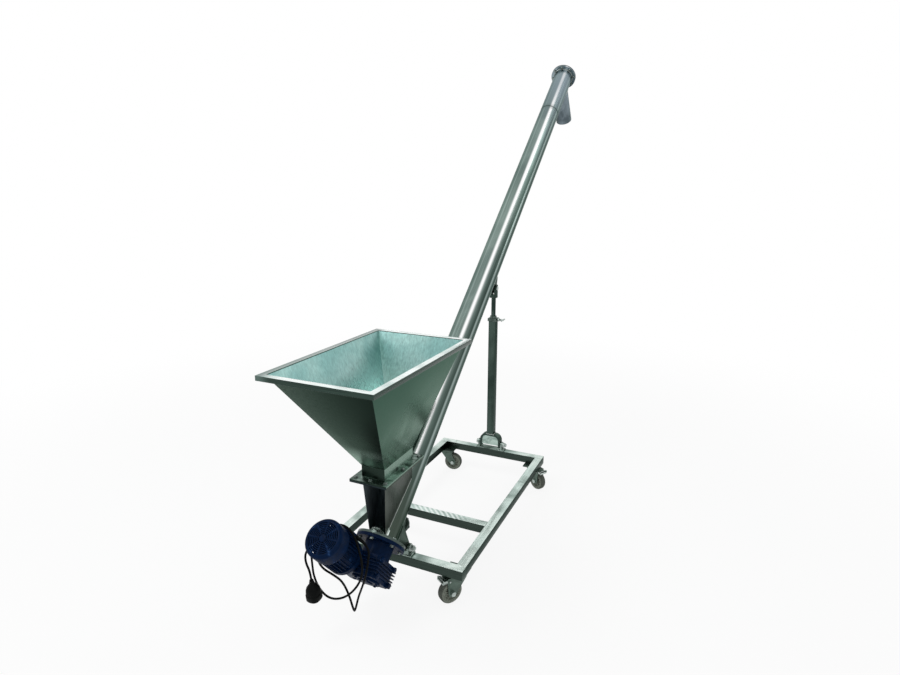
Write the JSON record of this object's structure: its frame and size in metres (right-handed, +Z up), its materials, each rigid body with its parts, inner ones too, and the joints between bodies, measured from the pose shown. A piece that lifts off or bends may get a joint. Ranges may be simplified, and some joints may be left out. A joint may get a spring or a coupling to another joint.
{
  "type": "powder conveyor",
  "caption": "Inclined screw conveyor for powder: square hopper over the low end of a long tube, geared motor beneath, side post and wheeled square-tube frame.",
  "frame": {"origin": "on the floor under the middle of the machine's overall box", "axes": "+X to the right seen from the hopper end, +Y from the hopper towards the discharge spout, +Z up"},
  "size_m": [0.6986, 2.9794, 2.4456],
  "materials": {
    "stainless": "brushed stainless sheet and tube",
    "bare_steel": "turned and plated steel",
    "dark_cover": "dark satin plate",
    "zinc_steel": "zinc plated pressing",
    "blue_paint": "satin dark blue enamel",
    "wheel_core": "moulded grey",
    "tread": "dark grey tread",
    "bronze": "machined bronze",
    "black_plastic": "moulded black",
    "cord_rubber": "matt black sheath"
  },
  "bodies": {
    "frame": {"front_rail": "stainless", "rear_rail": "stainless", "left_rail": "stainless", "right_rail": "stainless", "middle_rail": "stainless", "caster_plates": "zinc_steel", "pivot_brackets": "stainless", "pivot_pins": "bare_steel"},
    "conveyor": {"casing_tube": "stainless", "end_plate": "stainless", "top_cover": "dark_cover", "discharge_spout": "stainless", "cleanout_port": "stainless", "cleanout_cover": "dark_cover", "front_saddle": "stainless", "tube_lug": "stainless", "inlet_box": "stainless", "hopper_neck": "stainless", "hopper_shell": "stainless", "hopper_rim": "stainless", "flange_bolts": "bare_steel", "gearbox_housing": "blue_paint", "gearbox_cover": "blue_paint", "motor_flange": "blue_paint", "motor_body": "blue_paint", "fan_cover": "blue_paint", "terminal_box": "blue_paint", "cable_gland": "black_plastic", "power_cord": "cord_rubber", "power_plug": "black_plastic"},
    "post": {"post_bow": "stainless", "post_tube": "stainless", "post_collar": "stainless"},
    "clamp": {"clamp_screw": "bare_steel"},
    "rod": {"post_rod": "bare_steel", "rod_pin": "bare_steel"},
    "screw": {"screw_shaft": "stainless", "screw_flights": "stainless", "worm_wheel": "bronze"},
    "rotor": {"worm_shaft": "bare_steel", "motor_rotor": "bare_steel", "cooling_fan": "black_plastic"},
    "swivel_front_left": {"fork_front_left": "zinc_steel", "axle_front_left": "bare_steel"},
    "wheel_front_left": {"hub_front_left": "wheel_core", "tyre_front_left": "tread"},
    "swivel_front_right": {"fork_front_right": "zinc_steel", "axle_front_right": "bare_steel"},
    "wheel_front_right": {"hub_front_right": "wheel_core", "tyre_front_right": "tread"},
    "brake_front_right": {"brake_front_right": "zinc_steel"},
    "swivel_rear_left": {"fork_rear_left": "zinc_steel", "axle_rear_left": "bare_steel"},
    "wheel_rear_left": {"hub_rear_left": "wheel_core", "tyre_rear_left": "tread"},
    "swivel_rear_right": {"fork_rear_right": "zinc_steel", "axle_rear_right": "bare_steel"},
    "wheel_rear_right": {"hub_rear_right": "wheel_core", "tyre_rear_right": "tread"},
    "brake_rear_right": {"brake_rear_right": "zinc_steel"}
  },
  "joints": [
    {"name": "conveyor_tilt", "type": "hinge", "parent": "frame", "child": "conveyor", "pos_m": [0, -1.00772, 0.202], "axis": [1, 0, 0], "range_deg": [-4, 4]},
    {"name": "post_swing", "type": "hinge", "parent": "frame", "child": "post", "pos_m": [0, 0.10228, 0.202], "axis": [1, 0, 0], "range_deg": [-4.5, 4.5]},
    {"name": "rod_slide", "type": "slide", "parent": "post", "child": "rod", "axis": [0, 0, 1], "range_m": [-0.08, 0.08]},
    {"name": "clamp_turn", "type": "hinge", "parent": "post", "child": "clamp", "pos_m": [0, 0.10228, 0.933], "axis": [1, 0, 0], "range_deg": [-180, 180]},
    {"name": "screw_spin", "type": "hinge", "parent": "conveyor", "child": "screw", "pos_m": [0, -1.11772, 0.275], "axis": [0, 0.766, 0.6428], "continuous": true},
    {"name": "motor_spin", "type": "hinge", "parent": "conveyor", "child": "rotor", "pos_m": [-0.072, -1.19969, 0.20622], "axis": [0, -0.6428, 0.766], "continuous": true},
    {"name": "swivel_front_left", "type": "hinge", "parent": "frame", "child": "swivel_front_left", "pos_m": [-0.265, -0.96972, 0.13], "axis": [0, 0, 1], "continuous": true},
    {"name": "wheel_front_left", "type": "hinge", "parent": "swivel_front_left", "child": "wheel_front_left", "pos_m": [-0.301, -0.96972, 0.05], "axis": [0, -1, 0], "continuous": true},
    {"name": "swivel_front_right", "type": "hinge", "parent": "frame", "child": "swivel_front_right", "pos_m": [0.265, -0.96972, 0.13], "axis": [0, 0, 1], "continuous": true},
    {"name": "wheel_front_right", "type": "hinge", "parent": "swivel_front_right", "child": "wheel_front_right", "pos_m": [0.24487, -0.99957, 0.05], "axis": [0.829, -0.5592, 0], "continuous": true},
    {"name": "brake_front_right", "type": "hinge", "parent": "swivel_front_right", "child": "brake_front_right", "pos_m": [0.23816, -1.00951, 0.106], "axis": [0.829, -0.5592, 0], "range_deg": [0, 12]},
    {"name": "swivel_rear_left", "type": "hinge", "parent": "frame", "child": "swivel_rear_left", "pos_m": [-0.265, 0.07928, 0.13], "axis": [0, 0, 1], "continuous": true},
    {"name": "wheel_rear_left", "type": "hinge", "parent": "swivel_rear_left", "child": "wheel_rear_left", "pos_m": [-0.22935, 0.08429, 0.05], "axis": [-0.1392, 0.9903, 0], "continuous": true},
    {"name": "swivel_rear_right", "type": "hinge", "parent": "frame", "child": "swivel_rear_right", "pos_m": [0.265, 0.07928, 0.13], "axis": [0, 0, 1], "continuous": true},
    {"name": "wheel_rear_right", "type": "hinge", "parent": "swivel_rear_right", "child": "wheel_rear_right", "pos_m": [0.29618, 0.06128, 0.05], "axis": [0.5, 0.866, 0], "continuous": true},
    {"name": "brake_rear_right", "type": "hinge", "parent": "swivel_rear_right", "child": "brake_rear_right", "pos_m": [0.30657, 0.05528, 0.106], "axis": [0.5, 0.866, 0], "range_deg": [0, 12]}
  ],
  "couplings": [
    {"joint": "post_swing", "follows": "conveyor_tilt", "ratio": 1},
    {"joint": "rod_slide", "follows": "conveyor_tilt", "m_per_rad": 1.11},
    {"joint": "motor_spin", "follows": "screw_spin", "ratio": 30}
  ]
}
